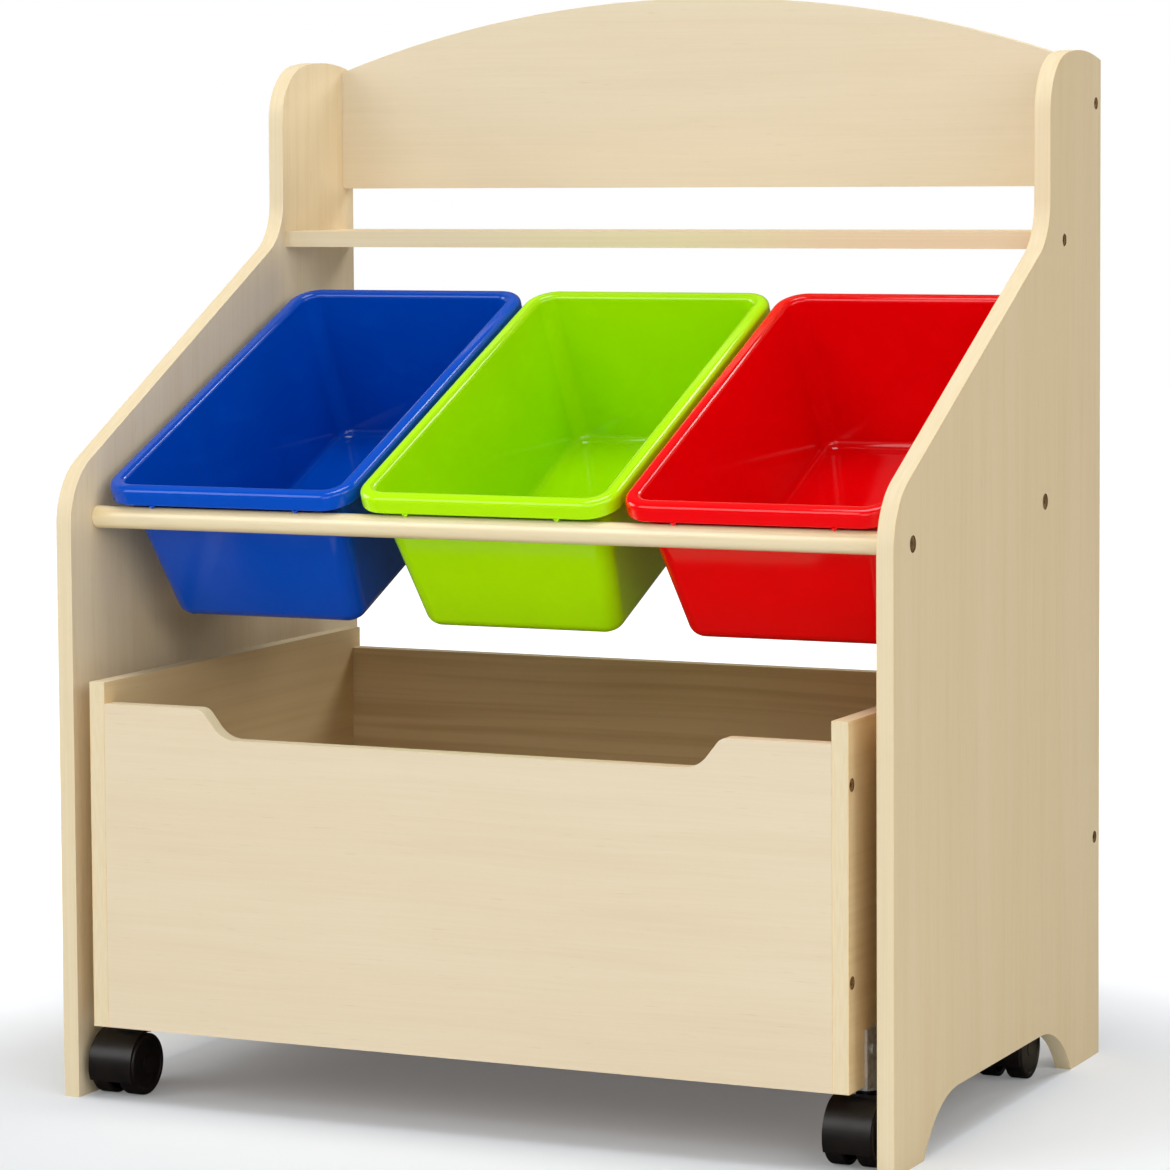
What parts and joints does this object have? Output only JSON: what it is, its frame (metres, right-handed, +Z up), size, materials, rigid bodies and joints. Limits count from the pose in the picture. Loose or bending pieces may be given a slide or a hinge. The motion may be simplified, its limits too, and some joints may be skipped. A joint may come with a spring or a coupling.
{
  "type": "toy shelf",
  "caption": "Child's toy organizer: wooden sides with an arched back and shelf, tilted plastic bins hung on two rods, and a toy box on casters that rolls out below.",
  "frame": {"origin": "the middle of the whole object's box, on the floor", "axes": "+Z up, +Y to the back, +X to the right of someone who faces the front"},
  "size_m": [0.63, 0.436, 0.785],
  "materials": {
    "maple_board": "satin clear lacquer over edge-glued light hardwood strips",
    "rod_wood": "gloss clear lacquer over turned light hardwood",
    "hardboard": "plain, smooth side up",
    "bronze_steel": "dark bronze plating",
    "zinc_steel": "bright zinc plating",
    "caster_black": "satin moulded nylon",
    "bin_blue": "glossy moulded polypropylene",
    "bin_green": "glossy moulded polypropylene",
    "bin_red": "glossy moulded polypropylene"
  },
  "bodies": {
    "cabinet": {"side_left": "maple_board", "side_right": "maple_board", "arch_board": "maple_board", "top_shelf": "maple_board", "lower_rail": "maple_board", "front_rod": "rod_wood", "rear_rod": "rod_wood", "board_bolts": "bronze_steel", "rod_bolts": "bronze_steel", "dowels": "rod_wood"},
    "toy_box": {"box_front": "maple_board", "box_back": "maple_board", "box_left": "maple_board", "box_right": "maple_board", "box_floor": "hardboard", "box_screws": "bronze_steel", "bracket_screws": "zinc_steel", "bracket_fl": "zinc_steel", "bracket_fr": "zinc_steel", "bracket_rl": "zinc_steel", "bracket_rr": "zinc_steel", "stem_fl": "zinc_steel", "stem_fr": "zinc_steel", "stem_rl": "zinc_steel", "stem_rr": "zinc_steel"},
    "caster_fl": {"hood_fl": "caster_black", "axle_fl": "zinc_steel"},
    "wheel_fl_outer": {"wheel_fl_outer": "caster_black"},
    "wheel_fl_inner": {"wheel_fl_inner": "caster_black"},
    "caster_fr": {"hood_fr": "caster_black", "axle_fr": "zinc_steel"},
    "wheel_fr_outer": {"wheel_fr_outer": "caster_black"},
    "wheel_fr_inner": {"wheel_fr_inner": "caster_black"},
    "caster_rl": {"hood_rl": "caster_black", "axle_rl": "zinc_steel"},
    "wheel_rl_outer": {"wheel_rl_outer": "caster_black"},
    "wheel_rl_inner": {"wheel_rl_inner": "caster_black"},
    "caster_rr": {"hood_rr": "caster_black", "axle_rr": "zinc_steel"},
    "wheel_rr_outer": {"wheel_rr_outer": "caster_black"},
    "wheel_rr_inner": {"wheel_rr_inner": "caster_black"},
    "bin_blue": {"bin_blue": "bin_blue"},
    "bin_green": {"bin_green": "bin_green"},
    "bin_red": {"bin_red": "bin_red"}
  },
  "joints": [
    {"name": "box_roll_out", "type": "slide", "parent": "cabinet", "child": "toy_box", "axis": [0, -1, 0], "range_m": [0, 0.45]},
    {"name": "swivel_fl", "type": "hinge", "parent": "toy_box", "child": "caster_fl", "pos_m": [-0.28, -0.17, 0.05], "axis": [0, 0, 1], "range_deg": [-7, 187]},
    {"name": "roll_fl_outer", "type": "hinge", "parent": "caster_fl", "child": "wheel_fl_outer", "pos_m": [-0.29125, -0.184, 0.022], "axis": [1, 0, 0], "continuous": true},
    {"name": "roll_fl_inner", "type": "hinge", "parent": "caster_fl", "child": "wheel_fl_inner", "pos_m": [-0.26875, -0.184, 0.022], "axis": [1, 0, 0], "continuous": true},
    {"name": "swivel_fr", "type": "hinge", "parent": "toy_box", "child": "caster_fr", "pos_m": [0.28, -0.17, 0.05], "axis": [0, 0, 1], "range_deg": [-187, 7]},
    {"name": "roll_fr_outer", "type": "hinge", "parent": "caster_fr", "child": "wheel_fr_outer", "pos_m": [0.29125, -0.184, 0.022], "axis": [1, 0, 0], "continuous": true},
    {"name": "roll_fr_inner", "type": "hinge", "parent": "caster_fr", "child": "wheel_fr_inner", "pos_m": [0.26875, -0.184, 0.022], "axis": [1, 0, 0], "continuous": true},
    {"name": "swivel_rl", "type": "hinge", "parent": "toy_box", "child": "caster_rl", "pos_m": [-0.28, 0.127, 0.05], "axis": [0, 0, 1], "range_deg": [-7, 187]},
    {"name": "roll_rl_outer", "type": "hinge", "parent": "caster_rl", "child": "wheel_rl_outer", "pos_m": [-0.29125, 0.113, 0.022], "axis": [1, 0, 0], "continuous": true},
    {"name": "roll_rl_inner", "type": "hinge", "parent": "caster_rl", "child": "wheel_rl_inner", "pos_m": [-0.26875, 0.113, 0.022], "axis": [1, 0, 0], "continuous": true},
    {"name": "swivel_rr", "type": "hinge", "parent": "toy_box", "child": "caster_rr", "pos_m": [0.28, 0.127, 0.05], "axis": [0, 0, 1], "range_deg": [-187, 7]},
    {"name": "roll_rr_outer", "type": "hinge", "parent": "caster_rr", "child": "wheel_rr_outer", "pos_m": [0.29125, 0.113, 0.022], "axis": [1, 0, 0], "continuous": true},
    {"name": "roll_rr_inner", "type": "hinge", "parent": "caster_rr", "child": "wheel_rr_inner", "pos_m": [0.26875, 0.113, 0.022], "axis": [1, 0, 0], "continuous": true},
    {"name": "lift_blue", "type": "slide", "parent": "cabinet", "child": "bin_blue", "axis": [0, -0.4067, 0.9135], "range_m": [0, 0.18]},
    {"name": "lift_green", "type": "slide", "parent": "cabinet", "child": "bin_green", "axis": [0, -0.4067, 0.9135], "range_m": [0, 0.18]},
    {"name": "lift_red", "type": "slide", "parent": "cabinet", "child": "bin_red", "axis": [0, -0.4067, 0.9135], "range_m": [0, 0.18]}
  ]
}
